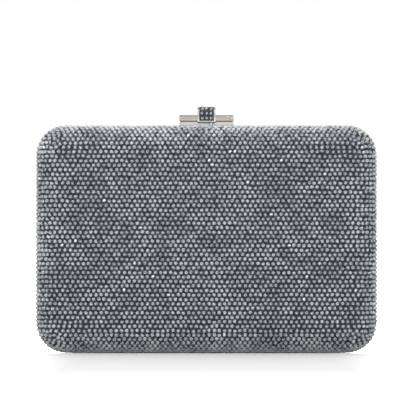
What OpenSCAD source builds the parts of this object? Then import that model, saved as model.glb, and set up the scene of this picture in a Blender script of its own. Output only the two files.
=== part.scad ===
/* [Case] */
// Width of the closed case over its crystals
case_w = 165; // [145:1:200]
// Height of the closed case over its crystals
case_h = 110; // [95:0.2:140]
// Depth of the closed case, front face to back face
case_d = 35; // [31:0.5:48]
// Radius of the four corners seen from the front
corner_r = 14.5; // [12:0.5:20]
// Radius that rounds each face into its side band
edge_r = 10; // [7:0.5:11]
// Thickness of the crystal layer
crystal_t = 1; // [0.8:0.1:1.4]
// Thickness of the brass shells
shell_t = 0.7; // [0.5:0.1:1]
// Thickness of the leather lining
lining_t = 1; // [0.6:0.1:1.4]

/* [Rim frames] */
// Width of the bare metal rim on each half
rim_w = 1.5; // [1:0.1:2.5]
// Depth of the rim below the crystal tips
rim_sink = 0.15; // [0.05:0.05:0.4]
// Thickness of the back frame's flange, inside the shell
flange_t = 0.9; // [0.7:0.1:1.4]
// Depth of both flanges from the seam
flange_d = 5; // [4.8:0.2:7]
// Gap between the closed rims
seam_gap = 0.1; // [0.04:0.02:0.2]
// Thickness of the lip that guides the halves together
lip_t = 0.8; // [0.5:0.1:1.2]
// Reach of the lip past the seam, into the front half
lip_reach = 1; // [0.6:0.1:1.1]
// Clearance between the lip and the front frame
lip_gap = 0.3; // [0.2:0.05:0.4]

/* [Hinge] */
// Radius of the hinge barrel, which is flush with the base
barrel_r = 1.5; // [1.3:0.1:1.8]
// Number of knuckles, shared between the two leaves
knuckle_count = 7; // [5:2:11]
// Gap between neighbouring knuckles
knuckle_gap = 0.2; // [0.1:0.05:0.4]
// Run of the hinge into each bottom corner
hinge_overrun = 2; // [0:0.5:3]
// Radius of the hinge pin
pin_r = 0.7; // [0.5:0.05:0.9]
// Radial clearance of the pin in its knuckles
pin_clear = 0.05; // [0.02:0.01:0.08]
// Thickness of the hinge leaves
leaf_t = 0.7; // [0.5:0.1:0.9]

/* [Clasp bar] */
// Length of the bar, end caps included
bar_l = 26.4; // [26:0.2:34]
// Height of the bar
bar_h = 2.7; // [2.4:0.1:3.6]
// Width of the bar, front to back
bar_w = 4.4; // [4:0.1:4.6]
// Radius of the bar's top edges
bar_edge_r = 0.9; // [0.4:0.1:1.1]
// Open height between the bar and its base plates
bar_lift = 0.9; // [0.6:0.1:1.2]
// Length of each end cap
cap_l = 2; // [1.8:0.1:2.2]
// Length of each foot that carries the bar
foot_l = 2.3; // [2.1:0.1:2.6]
// Height of the base plates above the crystals
plate_rise = 1.6; // [1.2:0.1:2.4]
// Width of each base plate from the seam
plate_w = 4.4; // [4.3:0.1:4.6]

/* [Slider] */
// Width of the slider along the bar
slider_w = 8.8; // [8.6:0.2:9.2]
// Height of the slider
slider_h = 7.4; // [7.2:0.1:9]
// Depth of the slider, front to back
slider_d = 9.8; // [9.4:0.1:10.2]
// Radius of the slider's upper edges
slider_edge_r = 2; // [1.4:0.1:2.2]
// Running gap between the slider and what it slides on
slider_gap = 0.15; // [0.1:0.01:0.2]
// Thickness of the polished cheek at each end
cheek_t = 0.9; // [0.7:0.1:1]
// Thickness of the dark setting that carries the stones
setting_t = 0.5; // [0.4:0.05:0.6]
// Bare height below the setting
slider_foot_h = 0.6; // [0.4:0.1:1]
// Radius of the slider's stones
stone_r = 0.98; // [0.8:0.01:1]
// Distance between neighbouring stones
stone_pitch = 2.15; // [2.1:0.05:2.3]
// Height of a stone
stone_h = 0.6; // [0.4:0.05:0.8]

/* [Latch] */
// Height of the latch housing
latch_h = 6; // [5.8:0.1:7]
// Width of the latch housing, front to back
latch_w = 5; // [4.9:0.1:5.4]
// Wall of the latch housing
latch_wall = 0.6; // [0.4:0.1:0.7]
// Radius of the catch peg's neck
peg_r = 0.8; // [0.6:0.05:0.9]
// Radius of the catch peg's head
peg_head_r = 1.3; // [1.1:0.05:1.4]
// Wire radius of the lock spring
lock_wire_r = 0.25; // [0.15:0.01:0.3]
// Wire radius of the return spring
return_wire_r = 0.18; // [0.12:0.01:0.2]
// Coil radius of the return spring
return_coil_r = 1.1; // [0.9:0.05:1.2]
// Number of turns of the return spring
return_turns = 11; // [8:1:12]

/* [Hidden] */
$fn = 48;
// Overrun of every cut past the face it leaves
cut = 1;
// Solder or glue line between stacked layers
fit_gap = 0.05;

// Depth of each layer's faces below the crystal tips, from the outside in
shell_out = crystal_t + fit_gap;
shell_in = shell_out + shell_t;
flange_out = shell_in + fit_gap;
flange_in = flange_out + flange_t;
lining_in = flange_out + lining_t;
lip_out = flange_in + fit_gap;
lip_in = lip_out + lip_t;
front_flange_in = lip_out - lip_gap;
// Height of the guide lip's ends, above the bottom corners
lip_end_z = corner_r + lip_in;

// Hinge, whose axis lies in the seam one barrel radius above the base
barrel_clear = 0.2;
hinge_l = case_w - 2 * corner_r + 2 * hinge_overrun;
leaf_l = case_w - 2 * corner_r;
knuckle_pitch = hinge_l / knuckle_count;
slot_y = barrel_r + barrel_clear;
slot_top = 2 * barrel_r + leaf_t + 2 * barrel_clear;
leaf_start = slot_y + barrel_clear;
web_start = 0.3;
web_z = barrel_r + web_start;
web_end = slot_y - barrel_clear / 2;
rivet_r = 0.5;
rivet_head_r = 0.9;
rivet_head_h = 0.35;
leaf_rivet_y = (leaf_start + flange_d) / 2;

// Clasp bar and its base plates
notch_gap = 0.2;
plate_z = case_h - crystal_t;
plate_top = case_h + plate_rise;
bar_z = plate_top + bar_lift;
foot_out = bar_l / 2 - cap_l;
foot_in = foot_out - foot_l;
foot_w = 2.1;
rail_clear = 0.2;
rail_inset = 0.3;
rail_l = bar_l - 2 * rail_inset;
core_w = 2.4;
core_h = 1.4;
cap_wall = 0.5;
cap_round_r = 0.6;
cap_pin_r = 0.45;
cap_pin_proud = 0.08;
screw_r = 0.5;
screw_head_r = 0.9;
screw_head_h = 0.6;
screw_grip = 1.6;
screw_x = (foot_in + foot_out) / 2;
screw_y = (seam_gap + foot_w) / 2;
plate_rivet_edge = 1.2;
plate_rivet_x = bar_l / 2 - plate_rivet_edge;
plate_rivet_cover = 0.5;
post_r = 0.55;
post_dome_h = 0.3;
post_x = 2.2;
post_y = plate_w + post_r + fit_gap;

// Slider, whose lips run under the bar and which is released just before it meets a foot
slider_z = plate_top + slider_gap;
stop_gap = 0.5;
slider_travel = foot_in - slider_w / 2 - stop_gap;
slider_lip_w = 0.8;
rail_w = bar_w / 2 - slider_lip_w - rail_clear;
setting_sink = 0.1;
setting_w = slider_d - 2 * setting_sink;
setting_h = slider_h - setting_sink;
setting_r = slider_edge_r - setting_sink;
setting_l = slider_w - 2 * cheek_t;
stone_seat = 0.15;
stone_table_share = 0.55;

// Path of the stone rows: up the front, over the top and down the back
rise_l = setting_h - slider_foot_h - setting_r;
bend_l = PI / 2 * setting_r;
top_l = setting_w - 2 * setting_r;
path_l = 2 * rise_l + 2 * bend_l + top_l;
stone_margin = 0.12;
row_start = stone_r + stone_margin;
stone_rows = floor((path_l - 2 * row_start) / stone_pitch) + 1;
row_pitch = (path_l - 2 * row_start) / (stone_rows - 1);
stone_columns = floor(setting_l / stone_pitch);

// Tongue and wedge that join the slider to the latch
tongue_w = 2;
tongue_t = 0.7;
tongue_y = (bar_w / 2 + slider_gap + slider_d / 2 - setting_t) / 2;
tongue_grip = 2.4;
tongue_clear = 0.25;
wedge_l = 2.5;
wedge_tip_h = 0.8;
wedge_base_h = 3;

// Latch housing, hung below the guide lip
latch_y = 0.6;
latch_top = case_h - lip_in - fit_gap;
latch_z = latch_top - (latch_h - latch_wall) / 2;
latch_tab_l = 3.4;
latch_tab_t = 0.8;
peg_gap = 0.2;
peg_x = tongue_w / 2 + wedge_l + slider_travel + peg_gap + peg_r;
peg_neck_end = tongue_y + tongue_t / 2 + fit_gap;
peg_head_l = 1;
peg_hole_clear = 0.4;
bracket_w = 3.8;
bracket_t = 0.7;
bracket_y = lip_reach + lip_gap;
bracket_rivet_x = 1.1;
bracket_rivet_y = (bracket_y + bracket_t + flange_d) / 2;
lock_leg_gap = 0.3;
lock_leg_x = tongue_w / 2 + wedge_l + lock_leg_gap;
lock_bend_gap = 2.2;
lock_bend_x = peg_x + peg_head_r + lock_bend_gap;
lock_bend_r = peg_r + lock_wire_r + fit_gap;
latch_end_gap = 0.35;
latch_half = lock_bend_x + lock_bend_r + lock_wire_r + latch_end_gap;
return_gap = 0.1;
return_l = latch_half - tongue_w / 2 - 2 * return_gap - 2 * return_wire_r;

// Steps of the return spring's wire, and its sides
coil_steps = 8;
wire_sides = 6;

// The front half is drawn lying on its seam and stood up, and the back half is its mirror image
module stand_front() {
    translate([0, 0, case_h / 2]) rotate([90, 0, 0]) children();
}

module stand_back() {
    mirror([0, 1, 0]) stand_front() children();
}

// Carries a profile round the outline; its x runs outwards and its y runs from the seam to the face
module around_outline() {
    long_run = case_w - 2 * corner_r;
    short_run = case_h - 2 * corner_r;
    for (i = [0 : 3]) {
        run = i % 2 == 0 ? long_run : short_run;
        reach = i % 2 == 0 ? short_run / 2 : long_run / 2;
        rotate([0, 0, 90 * i]) {
            translate([-run / 2, reach, 0]) rotate([90, 0, 90]) linear_extrude(run) children();
            translate([run / 2, reach, 0]) rotate_extrude(angle = 90) children();
        }
    }
}

// Section of a layer between two depths below the crystal tips, from a depth past the seam
module layer_section(outer, inner, start) {
    thick = inner - outer;
    translate([0, case_d / 2 - inner]) square([corner_r - edge_r, thick]);
    translate([corner_r - inner, start]) square([thick, case_d / 2 - edge_r - start]);
    translate([corner_r - edge_r, case_d / 2 - edge_r]) intersection() {
        difference() {
            circle(r = edge_r - outer);
            circle(r = edge_r - inner);
        }
        square(edge_r);
    }
}

// One half's layer: its side band, its rounded edge and its face
module half_layer(outer, inner, start) {
    around_outline() layer_section(outer, inner, start);
    translate([corner_r - case_w / 2, corner_r - case_h / 2, case_d / 2 - inner])
        cube([case_w - 2 * corner_r, case_h - 2 * corner_r, inner - outer]);
}

// A block whose upper two edges are round, standing on the x axis
module round_top_section(w, h, r) {
    translate([-w / 2, 0]) square([w, h - r]);
    translate([r - w / 2, h - r]) square([w - 2 * r, r]);
    for (side = [0, 1]) mirror([side, 0]) translate([w / 2 - r, h - r]) intersection() {
        circle(r = r);
        square(r);
    }
}

// Runs a section along the bar; its x runs backwards and its y runs up
module along_bar(length) {
    translate([-length / 2, 0, 0]) rotate([90, 0, 90]) linear_extrude(length) children();
}

// A box centred on x, between two places on y and two on z
module bar_box(length, y1, y2, z1, z2) {
    translate([-length / 2, y1, z1]) cube([length, y2 - y1, z2 - z1]);
}

module both_ends() {
    for (side = [0, 1]) mirror([side, 0, 0]) children();
}

// A headed fastener that points up, with its head below z1
module upright_fastener(r, z1, z2, head_r, head_h) {
    translate([0, 0, z1]) cylinder(h = z2 - z1, r = r);
    translate([0, 0, z1 - head_h]) cylinder(h = head_h, r = head_r);
}

// Room that the hinge takes out of the walls of both halves
module hinge_slot() {
    bar_box(hinge_l + 2 * barrel_clear, -slot_y, slot_y, -cut, slot_top);
    bar_box(case_w, -slot_y, slot_y, -cut, barrel_r);
}

// Room that the clasp's base plates take out of the crystals and rims
module clasp_notch() {
    reach = plate_w + notch_gap;
    bar_box(bar_l + 2 * notch_gap, -reach, reach, case_h - shell_out, case_h + cut);
}

module leaf_rivet_places() {
    for (i = [0 : knuckle_count - 1])
        translate([(i + 0.5) * knuckle_pitch - hinge_l / 2, leaf_rivet_y, 0]) children();
}

module leaf_rivet_holes() {
    leaf_rivet_places() cylinder(h = slot_top + cut, r = rivet_r + fit_gap);
}

// Rivets through a leaf, from the shell's outer face to a head on the leaf
module leaf_rivets(leaf_top) {
    leaf_rivet_places() {
        translate([0, 0, shell_out]) cylinder(h = leaf_top - shell_out, r = rivet_r);
        translate([0, 0, leaf_top]) cylinder(h = rivet_head_h, r = rivet_head_r);
    }
}

module clasp_screw_places() {
    both_ends() translate([screw_x, screw_y, 0]) children();
}

module latch_screw_places() {
    both_ends() translate([latch_half + latch_wall + latch_tab_l / 2, latch_y + latch_w / 2, 0])
        children();
}

module plate_rivet_places() {
    both_ends() translate([plate_rivet_x, -plate_w / 2, 0]) children();
}

module bracket_rivet_places() {
    for (side = [-1, 1])
        translate([peg_x + side * bracket_rivet_x, -bracket_rivet_y, 0]) children();
}

// Slot for the slider's tongue through everything below the bar
module tongue_slot() {
    reach = tongue_t / 2 + tongue_clear;
    translate([-tongue_w / 2 - tongue_clear, tongue_y - reach, latch_top - cut])
        cube([tongue_w + slider_travel + 2 * tongue_clear, 2 * reach, bar_z - latch_top + cut]);
}

// Holes that pass the top of the back half
module back_top_holes() {
    from = latch_top - cut;
    clasp_screw_places() translate([0, 0, from]) cylinder(h = bar_z - from, r = screw_r + fit_gap);
    latch_screw_places() translate([0, 0, from])
        cylinder(h = case_h - crystal_t - from, r = screw_r + fit_gap);
    tongue_slot();
}

// Holes that pass the top of the front half
module front_top_holes() {
    from = latch_top - cut;
    plate_rivet_places() translate([0, 0, from])
        cylinder(h = plate_top - plate_rivet_cover + fit_gap - from, r = rivet_r + fit_gap);
    bracket_rivet_places() translate([0, 0, from])
        cylinder(h = case_h - crystal_t - from, r = rivet_r + fit_gap);
}

module back_crystals() {
    color("slategray") difference() {
        stand_back() half_layer(0, crystal_t, rim_w);
        hinge_slot();
        clasp_notch();
    }
}

module front_crystals() {
    color("slategray") difference() {
        stand_front() half_layer(0, crystal_t, rim_w);
        hinge_slot();
        clasp_notch();
        translate([post_x, -post_y, plate_z - cut]) cylinder(h = crystal_t + 2 * cut, r = post_r + fit_gap);
    }
}

module back_shell() {
    color("dimgray") difference() {
        stand_back() half_layer(shell_out, shell_in, rim_w + fit_gap);
        hinge_slot();
        leaf_rivet_holes();
        back_top_holes();
    }
}

module front_shell() {
    color("dimgray") difference() {
        stand_front() half_layer(shell_out, shell_in, rim_w + fit_gap);
        hinge_slot();
        mirror([0, 1, 0]) leaf_rivet_holes();
        front_top_holes();
    }
}

// Section of a rim frame: the bare rim, and the flange inside the shell
module frame_section(inner) {
    seam = seam_gap / 2;
    polygon([
        [corner_r - inner, seam],
        [corner_r - rim_sink, seam],
        [corner_r - rim_sink, rim_w],
        [corner_r - flange_out, rim_w],
        [corner_r - flange_out, flange_d],
        [corner_r - inner, flange_d]
    ]);
}

module back_frame() {
    color("gainsboro") difference() {
        stand_back() around_outline() frame_section(flange_in);
        hinge_slot();
        clasp_notch();
        leaf_rivet_holes();
        back_top_holes();
    }
}

module front_frame() {
    color("gainsboro") difference() {
        stand_front() around_outline() frame_section(front_flange_in);
        hinge_slot();
        clasp_notch();
        mirror([0, 1, 0]) leaf_rivet_holes();
        front_top_holes();
    }
}

// The lip runs up both sides and over the top, inside the back frame
module guide_lip() {
    color("silver") difference() {
        stand_back() around_outline() translate([corner_r - lip_in, -lip_reach])
            square([lip_t, flange_d + lip_reach]);
        bar_box(case_w, -lip_reach - cut, flange_d + cut, -cut, lip_end_z);
        back_top_holes();
    }
}

module back_lining() {
    color("darkslategray") stand_back() half_layer(flange_out, lining_in, flange_d + fit_gap);
}

module front_lining() {
    color("darkslategray") stand_front() half_layer(flange_out, lining_in, flange_d + fit_gap);
}

module knuckle_places(first) {
    for (i = [first : 2 : knuckle_count - 1])
        translate([(i + 0.5) * knuckle_pitch - hinge_l / 2, 0, 0]) children();
}

// A hinge leaf on the back's side of the seam, with every second knuckle
module hinge_leaf(first, leaf_z) {
    knuckle_l = knuckle_pitch - knuckle_gap;
    leaf_top = leaf_z + leaf_t;
    difference() {
        union() {
            intersection() {
                bar_box(leaf_l, web_start, flange_d - fit_gap, leaf_z, leaf_top);
                union() {
                    bar_box(leaf_l, leaf_start, flange_d, leaf_z, leaf_top);
                    knuckle_places(first) bar_box(knuckle_l, web_start, leaf_start + cut, leaf_z, leaf_top);
                }
            }
            knuckle_places(first) {
                bar_box(knuckle_l, web_start, web_end, web_z, leaf_top);
                translate([-knuckle_l / 2, 0, barrel_r]) rotate([0, 90, 0])
                    cylinder(h = knuckle_l, r = barrel_r);
            }
        }
        translate([-hinge_l / 2 - cut, 0, barrel_r]) rotate([0, 90, 0])
            cylinder(h = hinge_l + 2 * cut, r = pin_r + pin_clear);
        leaf_rivet_holes();
    }
}

module back_hinge_leaf() {
    color("lightgray") hinge_leaf(0, flange_in + fit_gap);
}

module front_hinge_leaf() {
    color("lightgray") mirror([0, 1, 0]) hinge_leaf(1, front_flange_in + fit_gap);
}

module back_hinge_rivets() {
    color("silver") leaf_rivets(flange_in + fit_gap + leaf_t);
}

module front_hinge_rivets() {
    color("silver") mirror([0, 1, 0]) leaf_rivets(front_flange_in + fit_gap + leaf_t);
}

module hinge_pin() {
    color("gray") translate([knuckle_gap / 2 - hinge_l / 2, 0, barrel_r]) rotate([0, 90, 0])
        cylinder(h = hinge_l - knuckle_gap, r = pin_r);
}

// The back plate carries the bar on a rail between two feet, clear of the slider's lips and travel
module back_clasp_plate() {
    seam = seam_gap / 2;
    color("whitesmoke") difference() {
        union() {
            bar_box(bar_l, seam, plate_w, plate_z, plate_top);
            bar_box(rail_l, seam, rail_w, plate_z, bar_z);
            both_ends() translate([foot_in, seam, plate_z]) cube([foot_l, foot_w, bar_z - plate_z]);
        }
        back_top_holes();
    }
}

module front_clasp_plate() {
    color("whitesmoke") difference() {
        bar_box(bar_l, -plate_w, -seam_gap / 2, plate_z, plate_top);
        front_top_holes();
    }
}

// The bar ends in two tongues that the end caps cover
module clasp_bar() {
    core_z = bar_z + (bar_h - core_h) / 2;
    color("gainsboro") difference() {
        union() {
            translate([0, 0, bar_z]) along_bar(2 * foot_out) round_top_section(bar_w, bar_h, bar_edge_r);
            bar_box(bar_l - 2 * cap_wall - 2 * fit_gap, -core_w / 2, core_w / 2, core_z, core_z + core_h);
        }
        clasp_screw_places() translate([0, 0, bar_z - cut])
            cylinder(h = screw_grip + fit_gap + cut, r = screw_r + fit_gap);
        cap_pin_places() cap_pin(cap_pin_r + fit_gap, cut);
    }
}

module cap_pin_places() {
    both_ends() translate([foot_out + cap_l / 2, 0, bar_z + bar_h / 2]) children();
}

module cap_pin(r, proud) {
    translate([0, bar_w / 2 + proud, 0]) rotate([90, 0, 0]) cylinder(h = bar_w + 2 * proud, r = r);
}

module bar_end_caps() {
    core_z = bar_z + (bar_h - core_h) / 2 - fit_gap;
    core_reach = core_w / 2 + fit_gap;
    color("silver") difference() {
        both_ends() intersection() {
            translate([foot_out + cap_l / 2 + fit_gap, 0, bar_z]) along_bar(cap_l)
                round_top_section(bar_w, bar_h, bar_edge_r);
            translate([foot_out + fit_gap, 0, bar_z]) rotate([0, 0, -90]) linear_extrude(bar_h)
                round_top_section(bar_w, cap_l - fit_gap, cap_round_r);
        }
        bar_box(bar_l - 2 * cap_wall, -core_reach, core_reach, core_z, core_z + core_h + 2 * fit_gap);
        cap_pin_places() cap_pin(cap_pin_r + fit_gap, cut);
    }
}

module cap_pins() {
    color("white") cap_pin_places() cap_pin(cap_pin_r, cap_pin_proud);
}

module clasp_screws() {
    color("gray") clasp_screw_places()
        upright_fastener(screw_r, case_h - lip_in, bar_z + screw_grip, screw_head_r, screw_head_h);
}

// The housing is open at the top, where the guide lip closes it
module latch_housing() {
    length = 2 * (latch_half + latch_wall);
    floor_z = latch_top - latch_h;
    color("silver") difference() {
        union() {
            difference() {
                bar_box(length, latch_y, latch_y + latch_w, floor_z, latch_top);
                bar_box(2 * latch_half, latch_y + latch_wall, latch_y + latch_w - latch_wall,
                    floor_z + latch_wall, latch_top + cut);
            }
            both_ends() translate([length / 2, latch_y, latch_top - latch_tab_t])
                cube([latch_tab_l, latch_w, latch_tab_t]);
            translate([lock_bend_x, latch_y + latch_w - latch_wall, latch_z]) rotate([90, 0, 0])
                cylinder(h = latch_w - 2 * latch_wall - peg_gap, r = peg_r);
        }
        translate([peg_x, latch_y - cut, latch_z]) rotate([-90, 0, 0])
            cylinder(h = latch_wall + 2 * cut, r = peg_head_r + peg_hole_clear);
        clasp_screw_places() translate([0, 0, latch_top - screw_head_h - peg_gap])
            cylinder(h = screw_head_h + cut, r = screw_head_r + peg_gap);
        latch_screw_places() translate([0, 0, latch_top - latch_tab_t - cut])
            cylinder(h = latch_tab_t + 2 * cut, r = screw_r + fit_gap);
    }
}

module latch_screws() {
    color("gray") latch_screw_places() upright_fastener(screw_r, latch_top - latch_tab_t,
        case_h - shell_out, screw_head_r, screw_head_h);
}

// A hairpin that grips the catch peg's neck between its legs
module lock_spring() {
    color("lightsteelblue") translate([0, tongue_y, latch_z]) {
        for (side = [-1, 1]) translate([lock_leg_x, 0, side * lock_bend_r]) rotate([0, 90, 0])
            cylinder(h = lock_bend_x - lock_leg_x, r = lock_wire_r);
        translate([lock_bend_x, 0, 0]) rotate([90, 0, 0]) rotate([0, 0, -90])
            rotate_extrude(angle = 180) translate([lock_bend_r, 0]) circle(r = lock_wire_r);
    }
}

// A point of the wire's skin, at a step along the coil and a side round the wire
function wire_point(step, side, pitch) =
    let (turn = 360 * step / coil_steps, round_wire = 360 * side / wire_sides)
    let (reach = return_coil_r + return_wire_r * cos(round_wire))
    [pitch * step / coil_steps + return_wire_r * sin(round_wire), reach * cos(turn), reach * sin(turn)];

// An open coil that pulls the tongue back to the middle of the bar
module return_spring() {
    steps = return_turns * coil_steps;
    pitch = return_l / return_turns;
    skin = [for (i = [0 : steps], j = [0 : wire_sides - 1]) wire_point(i, j, pitch)];
    sides = [for (i = [0 : steps - 1], j = [0 : wire_sides - 1])
        let (a = i * wire_sides + j, b = i * wire_sides + (j + 1) % wire_sides)
        each [[a, b, a + wire_sides], [b, b + wire_sides, a + wire_sides]]];
    last = steps * wire_sides;
    ends = [for (j = [1 : wire_sides - 2])
        each [[0, j + 1, j], [last, last + j, last + j + 1]]];
    color("lightsteelblue") translate([return_gap + return_wire_r - latch_half, tongue_y, latch_z])
        polyhedron(points = skin, faces = concat(sides, ends));
}

module front_plate_rivets() {
    color("silver") plate_rivet_places() upright_fastener(rivet_r, case_h - front_flange_in,
        plate_top - plate_rivet_cover, rivet_head_r, rivet_head_h);
}

// A small upright post in front of the plate, below the slider
module locating_post() {
    color("white") translate([post_x, -post_y, plate_z]) {
        cylinder(h = plate_top - plate_z - post_dome_h, r = post_r);
        translate([0, 0, plate_top - plate_z - post_dome_h])
            cylinder(h = post_dome_h, r1 = post_r, r2 = post_r / 2);
    }
}

// The bracket hangs the catch peg from the front frame's flange
module catch_bracket() {
    top = case_h - front_flange_in - fit_gap;
    foot = latch_z - peg_head_r - peg_gap;
    color("silver") difference() {
        translate([peg_x, 0, 0]) {
            bar_box(bracket_w, -flange_d, -bracket_y, top - bracket_t, top);
            bar_box(bracket_w, -bracket_y - bracket_t, -bracket_y, foot, top);
        }
        bracket_rivet_places() translate([0, 0, top - bracket_t - cut])
            cylinder(h = bracket_t + 2 * cut, r = rivet_r + fit_gap);
        translate([peg_x, cut - bracket_y, latch_z]) rotate([90, 0, 0])
            cylinder(h = bracket_t + 2 * cut, r = peg_r / 2 + fit_gap);
    }
}

// The peg has a slim tail through the bracket, a neck and a head
module catch_peg() {
    color("silver") translate([peg_x, 0, latch_z]) {
        translate([0, -bracket_y - bracket_t, 0]) rotate([-90, 0, 0])
            cylinder(h = bracket_t + peg_head_l, r = peg_r / 2);
        translate([0, fit_gap - bracket_y, 0]) rotate([-90, 0, 0])
            cylinder(h = peg_neck_end + bracket_y, r = peg_r);
        translate([0, peg_neck_end, 0]) rotate([-90, 0, 0])
            cylinder(h = peg_head_l, r1 = peg_head_r, r2 = peg_r);
    }
}

module bracket_rivets() {
    color("gray") bracket_rivet_places() upright_fastener(rivet_r,
        case_h - front_flange_in - fit_gap - bracket_t, case_h - shell_out,
        rivet_head_r, rivet_head_h);
}

// Room for the bar, and the open underside between the slider's lips
module bar_channel() {
    length = slider_w + 2 * cut;
    translate([0, 0, bar_z - slider_gap]) along_bar(length)
        round_top_section(bar_w + 2 * slider_gap, bar_h + 2 * slider_gap, bar_edge_r);
    reach = bar_w / 2 - slider_lip_w;
    bar_box(length, -reach, reach, slider_z - cut, bar_z);
}

module slider_core() {
    inset = setting_t + fit_gap;
    color("silver") difference() {
        union() {
            translate([0, 0, slider_z]) along_bar(setting_l) round_top_section(
                slider_d - 2 * inset, slider_h - inset, slider_edge_r - inset);
            bar_box(setting_l, -setting_w / 2, setting_w / 2, slider_z, slider_z + slider_foot_h);
        }
        bar_channel();
        bar_box(tongue_w + 2 * fit_gap, tongue_y - tongue_t / 2 - fit_gap,
            tongue_y + tongue_t / 2 + fit_gap, slider_z - cut, slider_z + tongue_grip + fit_gap);
    }
}

module slider_cheeks() {
    color("gainsboro") difference() {
        both_ends() translate([(setting_l + cheek_t) / 2, 0, slider_z]) along_bar(cheek_t)
            round_top_section(slider_d, slider_h, slider_edge_r);
        bar_channel();
    }
}

// Place and tilt of a stone row at a distance along its path, as y, z and the tilt from upright
function half_path(s) =
    s < rise_l ? [-setting_w / 2, slider_foot_h + s, 90]
    : s < rise_l + bend_l ? let (a = 90 * (s - rise_l) / bend_l)
        [setting_r * (1 - cos(a)) - setting_w / 2, setting_h - setting_r * (1 - sin(a)), 90 - a]
    : [s - rise_l - bend_l + setting_r - setting_w / 2, setting_h, 0];
function row_place(s) =
    s <= path_l / 2 ? half_path(s)
    : let (p = half_path(path_l - s)) [-p[0], p[1], -p[2]];

module stone_places() {
    first_column = (stone_columns - 1) * stone_pitch / 2;
    for (i = [0 : stone_rows - 1], j = [0 : stone_columns - 1]) {
        p = row_place(row_start + i * row_pitch);
        translate([j * stone_pitch - first_column, p[0], slider_z + p[1]])
            rotate([p[2], 0, 0]) translate([0, 0, -stone_seat]) children();
    }
}

module slider_setting() {
    color("black") difference() {
        translate([0, 0, slider_z]) along_bar(setting_l)
            round_top_section(setting_w, setting_h, setting_r);
        translate([0, 0, slider_z - cut]) along_bar(setting_l + 2 * cut) round_top_section(
            slider_d - 2 * setting_t, slider_h - setting_t + cut, slider_edge_r - setting_t);
        bar_box(setting_l + 2 * cut, -slider_d, slider_d, slider_z - cut,
            slider_z + slider_foot_h + fit_gap);
        stone_places() cylinder(h = stone_seat + cut, r = stone_r + fit_gap);
    }
}

module slider_stones() {
    color("midnightblue") stone_places()
        cylinder(h = stone_h, r1 = stone_r, r2 = stone_r * stone_table_share);
}

// The tongue hangs from the slider into the latch, where its wedge points at the lock spring
module slider_tongue() {
    wedge_foot = latch_z - wedge_base_h / 2;
    color("gray") {
        bar_box(tongue_w, tongue_y - tongue_t / 2, tongue_y + tongue_t / 2, wedge_foot,
            slider_z + tongue_grip);
        translate([tongue_w / 2, tongue_y + tongue_t / 2, latch_z]) rotate([90, 0, 0])
            linear_extrude(tongue_t) polygon([
                [0, -wedge_base_h / 2],
                [wedge_l, -wedge_tip_h / 2],
                [wedge_l, wedge_tip_h / 2],
                [0, wedge_base_h / 2]
            ]);
    }
}

back_crystals();
back_shell();
back_frame();
guide_lip();
back_lining();
back_hinge_leaf();
back_hinge_rivets();
hinge_pin();
back_clasp_plate();
clasp_bar();
bar_end_caps();
cap_pins();
clasp_screws();
latch_housing();
latch_screws();
lock_spring();
return_spring();
front_crystals();
front_shell();
front_frame();
front_lining();
front_hinge_leaf();
front_hinge_rivets();
front_clasp_plate();
front_plate_rivets();
locating_post();
catch_bracket();
catch_peg();
bracket_rivets();
slider_core();
slider_cheeks();
slider_setting();
slider_stones();
slider_tongue();
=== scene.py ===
"""Visual model of the minaudiere: crystals, clasp, rims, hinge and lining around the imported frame."""

import math
import random

import bmesh
import bpy
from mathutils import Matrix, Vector
from mathutils import noise as perlin


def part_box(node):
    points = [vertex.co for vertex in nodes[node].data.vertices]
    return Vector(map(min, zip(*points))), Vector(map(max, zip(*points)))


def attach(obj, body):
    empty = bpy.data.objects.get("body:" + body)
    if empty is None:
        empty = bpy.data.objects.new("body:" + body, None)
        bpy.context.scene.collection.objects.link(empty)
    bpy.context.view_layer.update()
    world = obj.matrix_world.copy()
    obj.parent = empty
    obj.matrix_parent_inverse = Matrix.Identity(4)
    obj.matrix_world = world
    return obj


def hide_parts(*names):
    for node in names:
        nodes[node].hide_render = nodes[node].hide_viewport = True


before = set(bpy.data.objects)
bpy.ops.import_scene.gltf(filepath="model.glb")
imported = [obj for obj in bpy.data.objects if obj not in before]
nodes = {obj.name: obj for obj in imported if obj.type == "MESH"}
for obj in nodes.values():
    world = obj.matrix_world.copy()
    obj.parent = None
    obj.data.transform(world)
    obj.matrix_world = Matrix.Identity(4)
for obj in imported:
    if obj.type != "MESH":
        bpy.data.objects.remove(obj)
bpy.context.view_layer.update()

# Lengths are in millimetres, as in the CAD, until a mesh is made from them
MM = 0.001
CASE_LOW, CASE_HIGH = (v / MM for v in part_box("front_crystals"))
BACK_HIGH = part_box("back_crystals")[1] / MM
CASE_W = CASE_HIGH.x - CASE_LOW.x
CASE_H = CASE_HIGH.z - CASE_LOW.z
HALF_D = BACK_HIGH.y
CASE_BOX = ((-CASE_W / 2, -HALF_D, 0.0), (CASE_W / 2, HALF_D, CASE_H))
# The radius of the corners seen from the front, and of the bend between the side band and the face
CORNER_R = 14.5
EDGE_R = 10.0
CRYSTAL_T = 1.0
# How far from the seam the crystals start
RIM_W = 1.5
MID_Z = CASE_H / 2
# Half the length of the outline's straight runs
RUN_X = CASE_W / 2 - CORNER_R
RUN_Z = CASE_H / 2 - CORNER_R
# Over the surface from the seam: where the side band ends, how long the bend is, where the face starts
BAND_END = HALF_D - EDGE_R
BEND_L = EDGE_R * math.pi / 2
FLAT_START = BAND_END + BEND_L

HALVES = {"front": -1, "back": 1}


# Materials


def new_material(name):
    """A node material: its principled shader, and its node tree."""
    m = bpy.data.materials.new(name)
    m.use_nodes = True
    return m, m.node_tree.nodes["Principled BSDF"], m.node_tree


def set_sockets(shader, **values):
    for key, value in values.items():
        shader.inputs[key.replace("_", " ")].default_value = value


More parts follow.
